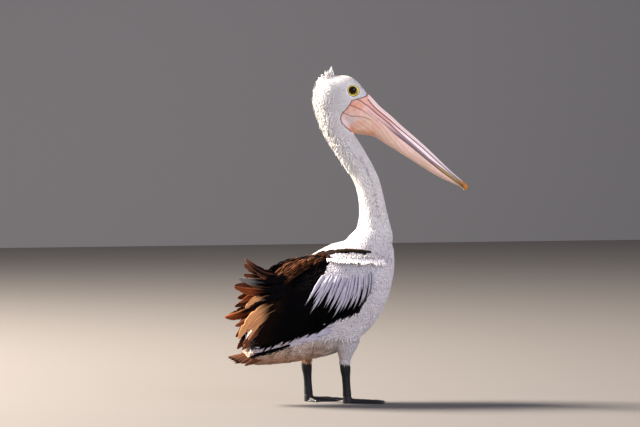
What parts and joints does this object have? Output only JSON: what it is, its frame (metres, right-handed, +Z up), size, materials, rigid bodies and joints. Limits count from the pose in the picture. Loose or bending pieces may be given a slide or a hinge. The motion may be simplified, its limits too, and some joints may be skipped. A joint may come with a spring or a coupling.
{
  "type": "australian pelican",
  "caption": "Standing white and black waterbird with a long pouched bill held down over a curved neck, wings folded, webbed feet flat, as a still display model",
  "frame": {"origin": "on the floor, under the middle of the bird's bounding box", "axes": "+X is forward from tail to breast, +Y is the bird's left, +Z is up"},
  "size_m": [0.7586, 0.263, 1.0453],
  "materials": {
    "plumage_white": "soft matt white feathers, creamier underneath",
    "plumage_black": "black-brown flight feathers with a faint sheen and paler brown edges",
    "bill_horn": "pale pink horn with a soft sheen, lilac-grey below and yellow at the tip",
    "pouch_skin": "thin bare peach-coloured skin with fine folds",
    "eye": "wet dark brown eye",
    "eye_ring": "bare yellow skin round the eye",
    "leg_skin": "dark slate scaled skin",
    "claw_horn": "dark horn claws"
  },
  "bodies": {
    "root": {"head": "plumage_white", "neck_upper": "plumage_white", "neck_lower": "plumage_white", "trunk": "plumage_white", "upper_bill": "bill_horn", "lower_bill": "bill_horn", "pouch": "pouch_skin", "eye_left": "eye", "eye_right": "eye", "wing_left": "plumage_black", "wing_right": "plumage_black", "flight_feathers_left": "plumage_black", "flight_feathers_right": "plumage_black", "tail": "plumage_black", "thigh_left": "plumage_white", "thigh_right": "plumage_white", "leg_left": "leg_skin", "leg_right": "leg_skin", "foot_left": "leg_skin", "foot_right": "leg_skin"}
  },
  "joints": []
}
